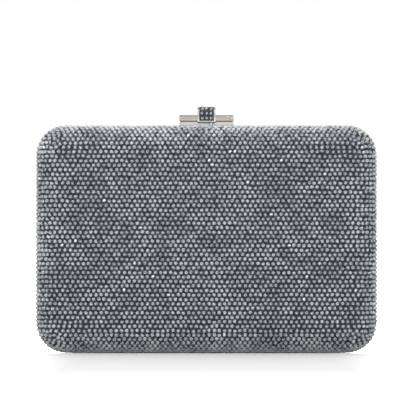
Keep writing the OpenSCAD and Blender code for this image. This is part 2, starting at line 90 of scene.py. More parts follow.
def object_coords(tree, scale=(1, 1, 1)):
    coords = tree.nodes.new("ShaderNodeTexCoord")
    mapping = tree.nodes.new("ShaderNodeMapping")
    mapping.inputs["Scale"].default_value = scale
    tree.links.new(coords.outputs["Object"], mapping.inputs["Vector"])
    return mapping.outputs["Vector"]


def noise(tree, vector, scale, detail=3, rough=0.55):
    n = tree.nodes.new("ShaderNodeTexNoise")
    n.inputs["Scale"].default_value = scale
    n.inputs["Detail"].default_value = detail
    n.inputs["Roughness"].default_value = rough
    tree.links.new(vector, n.inputs["Vector"])
    return n.outputs["Fac"]


def ramp(tree, value, *stops):
    """A colour ramp over value: each stop is (place, grey) or (place, (r, g, b))."""
    r = tree.nodes.new("ShaderNodeValToRGB")
    r.color_ramp.interpolation = "LINEAR"
    while len(r.color_ramp.elements) < len(stops):
        r.color_ramp.elements.new(0.5)
    for element, (place, colour) in zip(r.color_ramp.elements, stops):
        rgb = colour if isinstance(colour, tuple) else (colour,) * 3
        element.position = place
        element.color = (*rgb, 1)
    tree.links.new(value, r.inputs["Fac"])
    return r.outputs["Color"]


def math_node(tree, operation, *values, clamp=False):
    """A node for one sum, of numbers and of other nodes' outputs."""
    node = tree.nodes.new("ShaderNodeMath")
    node.operation, node.use_clamp = operation, clamp
    for socket, value in zip(node.inputs, values):
        if isinstance(value, float):
            socket.default_value = value
        else:
            tree.links.new(value, socket)
    return node.outputs[0]


def mix_shaders(tree, share, first, second, out):
    """Shows the second shader by a share, and the first one for the rest of it."""
    mix = tree.nodes.new("ShaderNodeMixShader")
    for socket, value in zip(mix.inputs, (share, first.outputs[0], second.outputs[0])):
        tree.links.new(value, socket)
    tree.links.new(mix.outputs[0], out.inputs["Surface"])


def bump(tree, shader, height, strength, distance):
    b = tree.nodes.new("ShaderNodeBump")
    b.inputs["Strength"].default_value = strength
    b.inputs["Distance"].default_value = distance
    tree.links.new(height, b.inputs["Height"])
    tree.links.new(b.outputs["Normal"], shader.inputs["Normal"])


def metal(name, colour, rough, spread=0.05, grain=(1, 1, 1), grain_scale=900, scratch=0.08, worn=0.04):
    """A plated metal: fine scratches along one direction, and patches of slightly different polish."""
    m, shader, tree = new_material(name)
    patches = noise(tree, object_coords(tree), 180, 4)
    lines = noise(tree, object_coords(tree, grain), grain_scale, 2)
    dark = tuple(c * (1 - worn) for c in colour)
    tint = ramp(tree, patches, (0.35, dark), (0.65, colour))
    tree.links.new(tint, shader.inputs["Base Color"])
    polish = ramp(tree, lines, (0.3, rough - spread), (0.7, rough + spread))
    tree.links.new(polish, shader.inputs["Roughness"])
    set_sockets(shader, Metallic=1.0)
    bump(tree, shader, lines, scratch, 0.00002)
    return m


def facet(name, colour, metallic, rough, coat=0.0):
    """A cut and foiled facet: its shape gives the look, so its finish is even."""
    m, shader, tree = new_material(name)
    set_sockets(shader, Base_Color=(*colour, 1), Metallic=metallic, Roughness=rough, IOR=1.56)
    shader.inputs["Coat Weight"].default_value = coat
    shader.inputs["Coat Roughness"].default_value = 0.03
    return m


def lacquer(name, colour, rough, specular=0.5):
    m, shader, tree = new_material(name)
    shader.inputs["Specular IOR Level"].default_value = specular
    patches = noise(tree, object_coords(tree), 700, 3)
    light = tuple(min(1, c * 1.6) for c in colour)
    tree.links.new(ramp(tree, patches, (0.3, colour), (0.75, light)), shader.inputs["Base Color"])
    tree.links.new(ramp(tree, patches, (0.2, rough), (0.8, rough + 0.2)), shader.inputs["Roughness"])
    bump(tree, shader, patches, 0.3, 0.0001)
    return m


def leather(name, colour):
    """Fine grained metallic leather: pebbles from a cell texture, with soft creases over them."""
    m, shader, tree = new_material(name)
    coords = object_coords(tree)
    cells = tree.nodes.new("ShaderNodeTexVoronoi")
    cells.feature = "DISTANCE_TO_EDGE"
    cells.inputs["Scale"].default_value = 1500
    tree.links.new(coords, cells.inputs["Vector"])
    creases = noise(tree, coords, 160, 5)
    edge = ramp(tree, cells.outputs["Distance"], (0.0, 0.0), (0.25, 1.0))
    height = math_node(tree, "MULTIPLY_ADD", creases, 0.8, edge)
    dark = tuple(c * 0.84 for c in colour)
    tree.links.new(ramp(tree, creases, (0.3, dark), (0.7, colour)), shader.inputs["Base Color"])
    tree.links.new(ramp(tree, edge, (0.0, 0.62), (1.0, 0.42)), shader.inputs["Roughness"])
    set_sockets(shader, Metallic=0.35)
    bump(tree, shader, height, 0.5, 0.00008)
    return m


NICKEL = metal("nickel", (0.73, 0.722, 0.705), 0.17, grain=(1, 30, 30))
WARM_NICKEL = metal("warm_nickel", (0.60, 0.565, 0.52), 0.2, grain=(1, 30, 30))
# Painted shade on the slider's underside, which runs just over the plates
UNDERSIDE_SHADE = metal("painted_underside_shade", (0.09, 0.088, 0.085), 0.5, worn=0.4)
# Painted shadow: under the slider on the front plate's edge, and round the locating post
PAINTED_SHADOW_NICKEL = metal("painted_shadow_nickel", (0.32, 0.30, 0.27), 0.45, worn=0.4)
# Painted shade in the recess under the clasp bar
GROOVE_SHADE = metal("painted_groove_shade", (0.50, 0.47, 0.43), 0.4, worn=0.2)
RIM_NICKEL = metal("rim_nickel", (0.70, 0.69, 0.67), 0.2, grain=(20, 1, 20))
STEEL = metal("plated_steel", (0.60, 0.60, 0.59), 0.3, grain=(1, 40, 40), scratch=0.15)
SCREW_STEEL = metal("screw_steel", (0.50, 0.50, 0.51), 0.33, scratch=0.15)
SPRING_STEEL = metal("spring_steel", (0.56, 0.57, 0.60), 0.25, grain=(30, 1, 1))
BRASS = metal("pressed_brass", (0.55, 0.44, 0.24), 0.38, spread=0.1, worn=0.2, scratch=0.2)
BED = lacquer("crystal_bed", (0.017, 0.019, 0.024), 0.5, specular=0.2)
SETTING = lacquer("black_setting", (0.012, 0.012, 0.016), 0.28)
LINING = leather("lining_leather", (0.34, 0.34, 0.37))
THREAD = lacquer("lining_thread", (0.30, 0.30, 0.32), 0.6)

# Foiled crystals: the table shows the foil, and the crown facets around it take painted shade, deep or
# half lit; each tint is one colour with three darker copies that paint the crown's light and shade
TINTS_AND_PAINTED_SHADES = {
    "smoke": ((0.26, 0.273, 0.29), (0.235, 0.248, 0.267), (0.198, 0.21, 0.228), (0.043, 0.048, 0.057)),
    "pale": ((0.32, 0.335, 0.35), (0.30, 0.315, 0.331), (0.26, 0.274, 0.29), (0.06, 0.066, 0.076)),
    "blue": ((0.208, 0.219, 0.242), (0.184, 0.195, 0.216), (0.154, 0.164, 0.184), (0.031, 0.035, 0.044)),
    "bright": ((0.62, 0.625, 0.64), (0.32, 0.335, 0.35), (0.16, 0.168, 0.18), (0.06, 0.066, 0.074)),
}
# How many of the stones show a painted glint
GLINT_SHARE = 0.008
TINT_SLOTS = {
    "smoke": "crystal_smoke",
    "pale": "crystal_pale",
    "blue": "crystal_blue",
    "bright": "crystal_pale",
}


def crystal_materials(name, colours):
    table, mid, half, deep = colours
    # The foil's colour, then three darker copies that paint the crown's light and shade
    return [
        facet(name + "_table", table, 0.3, 0.3, coat=1.0),
        facet(name + "_mid", mid, 0.4, 0.2, coat=1.0),
        facet(name + "_half", half, 0.6, 0.2, coat=0.5),
        facet(name + "_deep", deep, 0.85, 0.2),
    ]


CRYSTALS = {tint: crystal_materials("crystal_" + tint, c) for tint, c in TINTS_AND_PAINTED_SHADES.items()}
STONES = crystal_materials(
    "stone", ((0.265, 0.272, 0.306), (0.088, 0.092, 0.107), (0.042, 0.045, 0.056), (0.018, 0.02, 0.027))
)


# Meshes


def in_scene(name, data):
    """An object in the scene for a mesh, a lamp or a camera."""
    ob = bpy.data.objects.new(name, data)
    bpy.context.scene.collection.objects.link(ob)
    return ob


def new_object(name, verts, faces, materials, indices=None):
    """An object from points in millimetres."""
    me = bpy.data.meshes.new(name)
    me.from_pydata([tuple(c * MM for c in v) for v in verts], [], faces)
    for m in materials:
        me.materials.append(m)
    if indices is not None:
        me.polygons.foreach_set("material_index", indices)
    me.update()
    return in_scene(name, me)


def shade_smooth(me, degrees):
    """Edges whose two faces meet at less than this angle shade smooth."""
    me.polygons.foreach_set("use_smooth", [True] * len(me.polygons))
    me.set_sharp_from_angle(angle=math.radians(degrees))


def face_outwards(me, merge_m=0.0):
    """Turns a mesh's faces outwards, once points that lie this close together are joined."""
    bm = bmesh.new()
    bm.from_mesh(me)
    if merge_m:
        bmesh.ops.remove_doubles(bm, verts=bm.verts, dist=merge_m)
    bmesh.ops.recalc_face_normals(bm, faces=bm.faces)
    bm.to_mesh(me)
    bm.free()


def band(a, b, n):
    """The faces between two rings of n points, whose first points are a and b."""
    return [(a + i, a + (i + 1) % n, b + (i + 1) % n, b + i) for i in range(n)]


def place(ob, body, slot, *replaced):
    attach(ob, body)
    if replaced:
        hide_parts(*replaced)
    return ob


# Edges of the CAD's parts that turn by more than this are eased, in degrees
SHARP_FROM = 30
# Eased edges wider than this, in millimetres, are rounder
ROUND_FROM = 0.4


def bevelled(node, material, body, slot, width):
    """Stands for a CAD node in its own shape, with every sharp edge eased."""
    name = node + "_eased"
    bm = bmesh.new()
    bm.from_mesh(nodes[node].data)
    bmesh.ops.remove_doubles(bm, verts=bm.verts, dist=1e-7)
    bmesh.ops.dissolve_limit(
        bm, angle_limit=math.radians(0.5), verts=bm.verts, edges=bm.edges, delimit={"NORMAL"}
    )
    sharp = [
        e
        for e in bm.edges
        if len(e.link_faces) == 2 and e.calc_face_angle(0) > math.radians(SHARP_FROM)
    ]
    bmesh.ops.bevel(
        bm,
        geom=sharp,
        offset=width * MM,
        offset_type="OFFSET",
        segments=4 if width > ROUND_FROM else 2,
        profile=0.5,
        affect="EDGES",
        clamp_overlap=True,
    )
    bmesh.ops.recalc_face_normals(bm, faces=bm.faces)
    me = bpy.data.meshes.new(name)
    bm.to_mesh(me)
    bm.free()
    me.materials.append(material)
    shade_smooth(me, 40)
    return place(in_scene(name, me), body, slot, node)


def assign(node, material):
    me = nodes[node].data
    me.materials.clear()
    me.materials.append(material)


# The half's surface


def section(s, depth):
    """Place and normal in a half's section, at s along the surface from the seam.

    The depth is below the crystal tips.
    """
    if s <= BAND_END:
        return CORNER_R - depth, s, 1.0, 0.0
    if s <= FLAT_START:
        a = (s - BAND_END) / EDGE_R
        c, d = math.cos(a), math.sin(a)
        r = EDGE_R - depth
        return CORNER_R - EDGE_R + r * c, BAND_END + r * d, c, d
    return CORNER_R - EDGE_R - (s - FLAT_START), HALF_D - depth, 0.0, 1.0


# Each straight run of the outline: its middle, its direction, its outward normal and its half length
RUNS = [
    ((0, RUN_Z), (1, 0), (0, 1), RUN_X),
    ((RUN_X, 0), (0, -1), (1, 0), RUN_Z),
    ((0, -RUN_Z), (-1, 0), (0, -1), RUN_X),
    ((-RUN_X, 0), (0, 1), (-1, 0), RUN_Z),
]


def on_run(run, t, s, depth, side):
    """Point, normal and direction along the outline at t along a straight run."""
    (mx, mz), (dx, dz), (ox, oz), _ = RUNS[run]
    u, v, nu, nv = section(s, depth)
    point = (mx + dx * t + ox * u, side * v, MID_Z + mz + dz * t + oz * u)
    return Vector(point), Vector((ox * nu, side * nv, oz * nu)), Vector((dx, 0, dz))


def on_corner(run, a, s, depth, side):
    """The same in the corner after a run, at a turn from 0 to a quarter circle."""
    (mx, mz), (dx, dz), (ox, oz), half = RUNS[run]
    cx, cz = mx + dx * half, mz + dz * half
    c, d = math.cos(a), math.sin(a)
    rx, rz = ox * c + dx * d, oz * c + dz * d
    tx, tz = dx * c - ox * d, dz * c - oz * d
    u, v, nu, nv = section(s, depth)
    point = (cx + rx * u, side * v, MID_Z + cz + rz * u)
    return Vector(point), Vector((rx * nu, side * nv, rz * nu)), Vector((tx, 0, tz))


# Crystals

STONE_R = 1.16
PITCH = 2.47
ROW = 2.14
RING_COUNT = 10
RING_START = RIM_W + STONE_R + 0.04
FACE_INSET = 0.9
# From this ring on, rows lie as on the face. Each ring nearer the rim leans by this share of a pitch
STRAIGHT_FROM = 7
LEAN = 0.4
# A row that starts at least this many pitches out has a stone in the middle too. The next one keeps this
# many pitches from it, and this many stones after it make up for that
MIDDLE_FROM = 0.75
FIRST_PITCH = 0.97
CROWDED = 8
# Stones end this far before a corner starts, and round it they may stand this much closer
RUN_END = 0.3
CLOSER = 0.12
# How far the level rows wave and their stones stray
WAVE = 0.1
STRAY = 0.06
# What the clasp's plates, the hinge and the post keep clear of stones, near the top and the base
NOTCH_X, NOTCH_Y = 13.4, 4.6
SLOT_X = 70.2
POST_X, POST_Y = 2.2, 5.0
POST_CLEAR_X, POST_CLEAR_Y = 0.6, 0.8
EDGE_ZONE = 2
# The small stones beside the plates
EDGING_R = 0.47
EDGING_COUNT = 26

BED_DEPTH = 0.64
TABLE_DEPTH = 0.05
TABLE_SHARE = 0.57
SIDES = 8
# The spread of the stones' lean on the flat face, and how much more of it there is round the bends
TILT = 0.03
BEND_TILT = 0.06
# Shares of painted light below which a crown facet takes the next darker colour of painted shade
MAIN_SHADE_STEPS = (1.05, 0.48, 0.2)
STAR_SHADE_STEPS = (0.8, 0.4, 0.15)
# How much painted light a crown's colour gains on the top and on the base, and half of it on the ends
CROWN_PAINTED_LIGHT = 0.45


def in_notch(point, r):
    """True where a stone would meet the clasp's plates, its post or the hinge."""
    x, y, z = abs(point.x), abs(point.y), point.z
    if z > CASE_H - EDGE_ZONE:
        by_plate = x < NOTCH_X + r and y < NOTCH_Y + r
        by_post_x = abs(point.x - POST_X) < POST_CLEAR_X + r
        return by_plate or (by_post_x and abs(point.y + POST_Y) < POST_CLEAR_Y + r)
    return z < EDGE_ZONE and x < SLOT_X and y < RIM_W + r - 0.02


def row_places(shift, reach):
    """Places outwards from the middle in a row that starts shift pitches out."""
    has_middle = shift >= MIDDLE_FROM
    crowd = max(0.0, FIRST_PITCH - shift) if has_middle else 0.0
    count = int(reach / PITCH - shift) + 1
    places = [(shift + i + crowd * max(0.0, 1 - i / CROWDED)) * PITCH for i in range(count)]
    return ([0.0] if has_middle else []) + places


def brick_shift(k):
    """Every other row starts half a pitch along."""
    return 0.5 if k % 2 else 1.0


def row_shift(k):
    """Rows lie half a pitch apart near the face and lean outwards, by less, over the side band."""
    if k >= STRAIGHT_FROM:
        return brick_shift(k)
    return 0.5 + (LEAN * (STRAIGHT_FROM - k)) % 1


def mirrored(stone, fx, fz):
    point, normal, along, r = stone
    return (
        Vector((fx * point.x, point.y, MID_Z + fz * (point.z - MID_Z))),
        Vector((fx * normal.x, normal.y, fz * normal.z)),
        Vector((fx * along.x, along.y, fz * along.z)),
        r,
    )


def top_and_corner_stones(side, top):
    """One quarter's rows along the top edge, or along the base, each with its turn round the corner."""
    found = []
    reach = RUN_X - RUN_END
    for k in range(RING_COUNT):
        s = RING_START + k * ROW
        places = row_places(row_shift(k) if top else brick_shift(k), reach)
        if top and s < NOTCH_Y + STONE_R:
            first = NOTCH_X + STONE_R + 0.08
            places = [first + i * PITCH for i in range(int((reach - first) / PITCH) + 1)]
        found += [(*on_run(0, t, s, 0, side), STONE_R) for t in places]
        u = section(s, 0)[0]
        lead = RUN_X - places[-1]
        bend = u * (math.pi / 2 - math.asin(min(1.0, CORNER_STOP / u)))
        count = max(1, int((lead + bend) / (PITCH - CLOSER)))
        for i in range(1, count + 1):
            t = (lead + bend) * i / count
            if t < lead:
                found.append((*on_run(0, places[-1] + t, s, 0, side), STONE_R))
            else:
                found.append((*on_corner(0, (t - lead) / u, s, 0, side), STONE_R))
    return found


FACE_Z = RUN_Z + CORNER_R - EDGE_R - FACE_INSET
FACE_ROWS = round(2 * FACE_Z / ROW) + 1
FACE_ROW = 2 * FACE_Z / (FACE_ROWS - 1)
SIDE_TOP = max(FACE_Z - j * FACE_ROW for j in range(FACE_ROWS) if FACE_Z - j * FACE_ROW < RUN_Z - 0.2)
CORNER_STOP = max(0.0, SIDE_TOP + ROW - RUN_Z)
FLAT_X = RUN_X + CORNER_R - EDGE_R


def level_stones(side, rng):
    """Level rows of stones over the face. Those below the corners run on round both sides to the rim."""
    found = []
    for j in range(FACE_ROWS):
        z = FACE_Z - FACE_ROW * j
        wrapped = abs(z) <= SIDE_TOP + 0.01
        reach = FLAT_X + FLAT_START - RING_START
        if not wrapped:
            u = CORNER_R - EDGE_R - FACE_INSET
            reach = RUN_X + max(1.1, math.sqrt(max(0.0, u * u - (abs(z) - RUN_Z) ** 2)))
        places = row_places(brick_shift(j), reach)
        spare = reach - places[-1]
        if not wrapped and spare > 0.8 * PITCH:
            spare -= 0.3
        for end in (-1, 1):
            spread = rng.randint(6, 12)
            for i, p in enumerate(places):
                if p == 0 and end < 0:
                    continue
                late = max(0, i + 1 - (len(places) - spread)) / spread
                p += spare * late
                wave = WAVE * math.sin(0.35 * p * end + 1.7 * j) + rng.uniform(-STRAY, STRAY)
                if p < FLAT_X:
                    point = Vector((end * p, side * HALF_D, MID_Z + z + wave))
                    stone = (point, Vector((0, side, 0)), Vector((1, 0, 0)), STONE_R)
                else:
                    s = FLAT_START - (p - FLAT_X)
                    stone = (*on_run(1, -z - wave, s, 0, side), STONE_R)
                    if end < 0:
                        stone = mirrored(stone, -1, 1)
                found.append(stone)
    return found


def edging_stones(side):
    """Small stones that fill the strips between the rows and the clasp's plates."""
    found = []
    y = NOTCH_Y + 0.52
    gaps = EDGING_COUNT - 1
    for i in range(EDGING_COUNT):
        x = (i - gaps / 2) * 2 * (NOTCH_X - 0.3) / gaps
        if side > 0 or abs(x - POST_X) > POST_CLEAR_X + EDGING_R:
            found.append((Vector((x, side * y, CASE_H)), Vector((0, 0, 1)), Vector((1, 0, 0)), EDGING_R))
    return found


def half_stones(side, rng):
    found = level_stones(side, rng)
    for fz in (1, -1):
        for stone in top_and_corner_stones(side, fz > 0):
            found += [mirrored(stone, fx, fz) for fx in ((1, -1) if stone[0].x else (1,))]
    return [s for s in found if not in_notch(s[0], s[3])] + edging_stones(side)


def painted_glint_shades(rng, turn, normal):
    """A painted glint: the stone is painted bright on one side, half lit elsewhere on the table and deep
    round it.
    """
    n = SIDES
    aim = rng.uniform(0.2, 1.8)
    shades = []
    for first, least, rest in ((0.5, 0.2, 1), (0.5, 0.8, 3), (1.0, 0.8, 2)):
        for i in range(n):
            off = math.cos(2 * math.pi * (i + first) / n + turn - aim)
            shades.append(0 if off > least else rest)
    return shades


def painted_shade_tone(light, steps, rng):
    """The painted colour of a facet for its share of light: 0 the foil's, then darker painted shade to
    3.
    """
    light += rng.gauss(0, 0.2)
    return sum(light < step for step in steps)


def painted_facet_shades(rng, turn, normal):
    """Which colour each facet of a stone shows: the table's, the crown's mains and its stars in turn.

    Each crown's colours are painted as if lit from one side, lighter where it faces the pale
    surroundings, and a wedge of the table may be painted half lit.
    """
    n = SIDES
    lit = rng.uniform(0, 2 * math.pi)
    lift = CROWN_PAINTED_LIGHT * (normal.z ** 4 + 0.5 * normal.x ** 4)
    wedge, wide = rng.randrange(n), rng.choice((0, 0, 1, 2, 3, 4))
    shades = [rng.choice((1, 1, 2)) if (i - wedge) % n < wide else 0 for i in range(n)]
    for first, steps in ((0.5, MAIN_SHADE_STEPS), (1, STAR_SHADE_STEPS)):
        for i in range(n):
            light = 0.5 + 0.5 * math.cos(2 * math.pi * (i + first) / n + turn - lit)
            shades.append(painted_shade_tone(light + lift, steps, rng))
    return shades


def octagon(r, turn):
    angles = [2 * math.pi * i / SIDES + turn for i in range(SIDES)]
    return [(r * math.cos(a), r * math.sin(a)) for a in angles]


def crystal_mesh(name, stones, materials, rng, height=CRYSTAL_T, shade=painted_facet_shades, box=None):
    """Many cut crystals as one mesh, each with an eight-sided table, eight star and eight main facets.

    A tip of a tilted stone that would stand past the box is ground down to it.
    """
    n = SIDES
    girdle = octagon(1, 0)
    table = octagon(TABLE_SHARE, math.pi / n)
    low = BED_DEPTH * height + 0.1
    ring = [(i, (i + 1) % n) for i in range(n)]
    facets = [(n + i, n + j, 2 * n) for i, j in ring]
    facets += [(i, j, n + i) for i, j in ring]
    facets += [(j, n + j, n + i) for i, j in ring]
    facets.append(tuple(range(n - 1, -1, -1)))
    verts, faces, indices = [], [], []
    for point, normal, along, r in stones:
        bend = 1 - abs(normal.y)
        tilt = TILT + BEND_TILT * min(1.0, 3 * bend)
        axis = (normal + Vector([rng.gauss(0, tilt) for _ in range(3)])).normalized()
        turn = rng.uniform(0, 2 * math.pi / n)
        e1 = (along - axis * along.dot(axis)).normalized()
        e2 = axis.cross(e1)
        f1 = e1 * math.cos(turn) + e2 * math.sin(turn)
        f2 = axis.cross(f1)
        r = r * rng.uniform(0.97, 1.0)
        share = min(1.0, r / STONE_R)
        high = low - (low - TABLE_DEPTH) * share
        base = len(verts)
        for outline, depth in ((girdle, low), (table, high)):
            verts += [point + f1 * (x * r) + f2 * (y * r) - axis * depth for x, y in outline]
        verts.append(point - axis * high)
        faces += [tuple(base + i for i in f) for f in facets]
        indices += shade(rng, turn, normal) + [3]
    if box:
        verts = [[min(max(c, least), most) for c, least, most in zip(v, *box)] for v in verts]
    return new_object(name, verts, faces, materials, indices)


def bed_mesh(name, side):
    """The dark layer that the crystals sit in, as one closed skin around the half."""
    steps = [RIM_W + 0.02, 3.2, NOTCH_Y, 6.1] + [BAND_END + BEND_L * i / 8 for i in range(9)]
    outline = []
    for run in range(4):
        half = RUNS[run][3]
        cuts = [-half, -NOTCH_X, NOTCH_X, half] if run == 0 else [-half, 0.0, half]
        outline += [(on_run, run, t) for t in cuts[:-1]]
        outline += [(on_corner, run, math.pi / 2 * i / 9) for i in range(9)]
    levels = [(s, BED_DEPTH) for s in steps] + [(s, CRYSTAL_T) for s in steps[::-1]]
    verts = [where(run, t, s, depth, side)[0] for s, depth in levels for where, run, t in outline]
    n = len(outline)
    starts = [i * n for i in range(len(levels))]
    outer, inner = starts[:len(steps)], starts[len(steps):]
    faces = []
    for layer in (outer, inner):
        for a, b in zip(layer, layer[1:]):
            faces += band(a, b, n)
    faces.append(tuple(outer[-1] + i for i in range(n)))
    faces.append(tuple(inner[0] + n - 1 - i for i in range(n)))
    faces += band(inner[-1], outer[0], n)
    ob = new_object(name, verts, faces, [BED])
    boxes = [
        ((-NOTCH_X, -NOTCH_Y, CASE_H - 1.5), (NOTCH_X, NOTCH_Y, CASE_H + 1)),
        ((-SLOT_X, -1.7, -1), (SLOT_X, 1.7, 4.1)),
    ]
    for low, high in boxes:
        cut_box(ob, low, high)
    face_outwards(ob.data)
    shade_smooth(ob.data, 35)
    return ob


def cut_box(ob, low, high):
    x_ends, y_ends, z_ends = zip(low, high)
    corners = [(x, y, z) for x in x_ends for y in y_ends for z in z_ends]
    quads = [(0, 1, 3, 2), (4, 6, 7, 5), (0, 4, 5, 1), (2, 3, 7, 6), (0, 2, 6, 4), (1, 5, 7, 3)]
    cutter = new_object("cutter", corners, quads, [])
    m = ob.modifiers.new("cut", "BOOLEAN")
    m.operation, m.solver, m.object = "DIFFERENCE", "EXACT", cutter
    bpy.context.view_layer.update()
    made = bpy.data.meshes.new_from_object(ob.evaluated_get(bpy.context.evaluated_depsgraph_get()))
    ob.modifiers.clear()
    ob.data = made
    bpy.data.objects.remove(cutter)


def pick_tint(point, rng):
    """Patches of a few stones share a tint; near the top the paler tint is painted light, and a stone
    here and there gets a painted glint.
    """
    if rng.random() < GLINT_SHARE:
        return "bright"
    place = Vector((point.x, point.z, 40 * (point.y > 0)))
    patch = perlin.noise(place * 0.12) + 0.7 * perlin.noise(place * 0.045) + rng.gauss(0, 0.22)
    # Painted light: stones near the top take the paler tint more often, as if lit from above
    patch += 0.4 * max(0.0, 1 - (CASE_H - point.z) / 4)
    return "blue" if patch < -0.22 else "pale" if patch > 0.24 else "smoke"


def dress_half(half, side):
    rng = random.Random(40 + side)
    body = half + "_half"
    bed = bed_mesh(half + "_crystal_bed", side)
    place(bed, body, "crystal_bed", half + "_crystals")
    groups = {tint: [] for tint in TINTS_AND_PAINTED_SHADES}
    for stone in half_stones(side, rng):
        groups[pick_tint(stone[0], rng)].append(stone)
    for tint, members in groups.items():
        name = f"{half}_crystals_{tint}"
        shade = painted_glint_shades if tint == "bright" else painted_facet_shades
        ob = crystal_mesh(name, members, CRYSTALS[tint], rng, shade=shade, box=CASE_BOX)
        place(ob, body, TINT_SLOTS[tint], half + "_crystals")


for half, side in HALVES.items():
    dress_half(half, side)


# Leather linings

LINING_OUT = CASE_W / 2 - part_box("front_lining")[1].x / MM
LINING_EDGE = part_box("back_lining")[0].y / MM
LINING_T = 1.0
FOLD_R = LINING_T / 2
# The edge that is turned over: its length, its thickness and the line of its stitches
HEM_L = 3.0
HEM_T = 0.18
SEAM_S = LINING_EDGE + 1.9
# How far the padded middle stands off the shell
PUFF = 0.45
STITCH_L, STITCH_GAP, STITCH_R = 1.9, 0.75, 0.17


def lining_outline(run_steps, corner_steps):
    """Points round the outline, about evenly apart, each (the function that places it, run, place)."""
    found = []
    for run in range(4):
        half = RUNS[run][3]
        for i in range(run_steps):
            found.append((on_run, run, -half + 2 * half * i / run_steps))
        for i in range(corner_steps):
            found.append((on_corner, run, math.pi / 2 * i / corner_steps))
    return found


def leather_sag(point, s, where, place_on):
    """How far the leather stands off its board: soft waves, and small gathers in the corners."""
    wave = 0.09 * perlin.noise(point * 0.07) + 0.03 * perlin.noise(point * 0.3)
    if where is on_corner and BAND_END < s < FLAT_START + 3:
        deep = math.sin(math.pi * (s - BAND_END) / (FLAT_START + 3 - BAND_END))
        gather = 0.5 + 0.5 * math.cos(place_on * 28 + 2.5 * perlin.noise(point * 0.11))
        wave += 0.2 * deep * gather * math.sin(2 * place_on)
    return wave


def lining_mesh(name, side):
    """A leather pan: hidden back, edge turned over, hem's step, wall, bend and padded floor."""
    outline = lining_outline(20, 14)
    inner = LINING_OUT + LINING_T
    path = [(FLAT_START, LINING_OUT + 0.02)]
    path += [(BAND_END + BEND_L * i / 4, LINING_OUT + 0.02) for i in range(3, -1, -1)]
    middle = LINING_OUT + FOLD_R
    for i in range(9):
        a = math.pi * i / 8
        path.append((LINING_EDGE + FOLD_R - FOLD_R * math.sin(a), middle - FOLD_R * math.cos(a)))
    path += [(LINING_EDGE + d, inner) for d in (1.1, 1.6, 1.85)]
    path += [(SEAM_S, inner - 0.08), (SEAM_S + 0.1, inner - 0.02), (LINING_EDGE + HEM_L - 0.15, inner)]
    path += [(LINING_EDGE + HEM_L, inner - 0.06), (LINING_EDGE + HEM_L + 0.08, inner - HEM_T)]
    path += [(BAND_END + 1.0, inner - HEM_T)]
    path += [(BAND_END + BEND_L * i / 10, inner - HEM_T) for i in range(1, 11)]
    path += [(FLAT_START + d, inner - HEM_T) for d in (1.5, 3.0, CORNER_R - EDGE_R)]
    verts, faces = [], []
    n = len(outline)
    soft_from = LINING_EDGE + HEM_L + 0.2
    for s, depth in path:
        for where, run, t in outline:
            point, normal, _ = where(run, t, s, depth, side)
            if depth > middle and s > soft_from:
                point -= normal * leather_sag(point, s, where, t)
            verts.append(point)
    rings = 10
    last = verts[-n:]
    middle_point = Vector((0, last[0].y, MID_Z))
    for k in range(1, rings):
        f = 1 - k / rings
        for i, v in enumerate(last):
            point = middle_point.lerp(v, f)
            flat = Vector((point.x, side * (HALF_D - inner + HEM_T), point.z))
            puff = PUFF * (1 - f ** 4) + leather_sag(flat, 0, on_run, 0)
            verts.append(flat - Vector((0, side, 0)) * puff)
    verts.append(Vector((0, side * (HALF_D - inner + HEM_T - PUFF), MID_Z)))
    for k in range(len(path) + rings - 2):
        faces += band(k * n, (k + 1) * n, n)
    tip, first = len(verts) - 1, (len(path) + rings - 2) * n
    faces += [(first + i, first + (i + 1) % n, tip) for i in range(n)]
    faces.append(tuple(range(n - 1, -1, -1)))
    ob = new_object(name, verts, faces, [LINING])
    face_outwards(ob.data, merge_m=1e-6)
    shade_smooth(ob.data, 50)
    return ob


def stitch_mesh(name, side):
    """Stitches round the hem, each a short thread that dips into the leather at its ends."""
    depth = LINING_OUT + LINING_T
    u = section(SEAM_S, depth)[0]
    straight, bend = [2 * RUNS[r][3] for r in range(4)], u * math.pi / 2
    total = sum(straight) + 4 * bend
    count = round(total / (STITCH_L + STITCH_GAP))
    verts, faces = [], []
    around, along = 6, 5

    def at(d):
        d %= total
        for run in range(4):
            if d < straight[run]:
                return on_run(run, d - straight[run] / 2, SEAM_S, depth, side)
            d -= straight[run]
            if d < bend:
                return on_corner(run, d / u, SEAM_S, depth, side)
            d -= bend
        return on_run(0, -RUN_X, SEAM_S, depth, side)

    for k in range(count):
        start = total * k / count
        base = len(verts)
        for i in range(along):
            f = i / (along - 1)
            point, normal, direction = at(start + STITCH_L * f)
            lift = STITCH_R * (1.1 * math.sin(math.pi * f) - 0.6)
            centre = point - normal * lift
            across = normal.cross(direction)
            r = STITCH_R * (0.7 + 0.3 * math.sin(math.pi * f))
            for j in range(around):
                a = 2 * math.pi * j / around
                verts.append(centre + normal * (r * math.cos(a)) + across * (r * math.sin(a)))
        for i in range(along - 1):
            faces += band(base + i * around, base + (i + 1) * around, around)
        faces.append(tuple(base + j for j in range(around - 1, -1, -1)))
        faces.append(tuple(base + (along - 1) * around + j for j in range(around)))
    ob = new_object(name, verts, faces, [THREAD])
    shade_smooth(ob.data, 50)
    face_outwards(ob.data)
    return ob


for half, side in HALVES.items():
    for make, ending in ((lining_mesh, "_leather_lining"), (stitch_mesh, "_lining_stitches")):
        place(make(half + ending, side), half + "_half", "lining_leather", half + "_lining")


# Slider stones

SLIDER_LOW, SLIDER_HIGH = (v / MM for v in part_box("slider_setting"))
CHEEK_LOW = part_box("slider_cheeks")[0] / MM
SETTING_H = SLIDER_HIGH.z - CHEEK_LOW.z
SETTING_W = SLIDER_HIGH.y - SLIDER_LOW.y
SETTING_L = SLIDER_HIGH.x - SLIDER_LOW.x
SETTING_R = 1.9
FOOT_H = 0.6
SLIDER_STONE_R = 0.98
SLIDER_STONE_PITCH = 2.15
# How far their edges stand proud of the setting, and how tall they are beside a crystal of the case
SLIDER_STONE_PROUD = 0.42
SLIDER_STONE_HEIGHT = 0.72


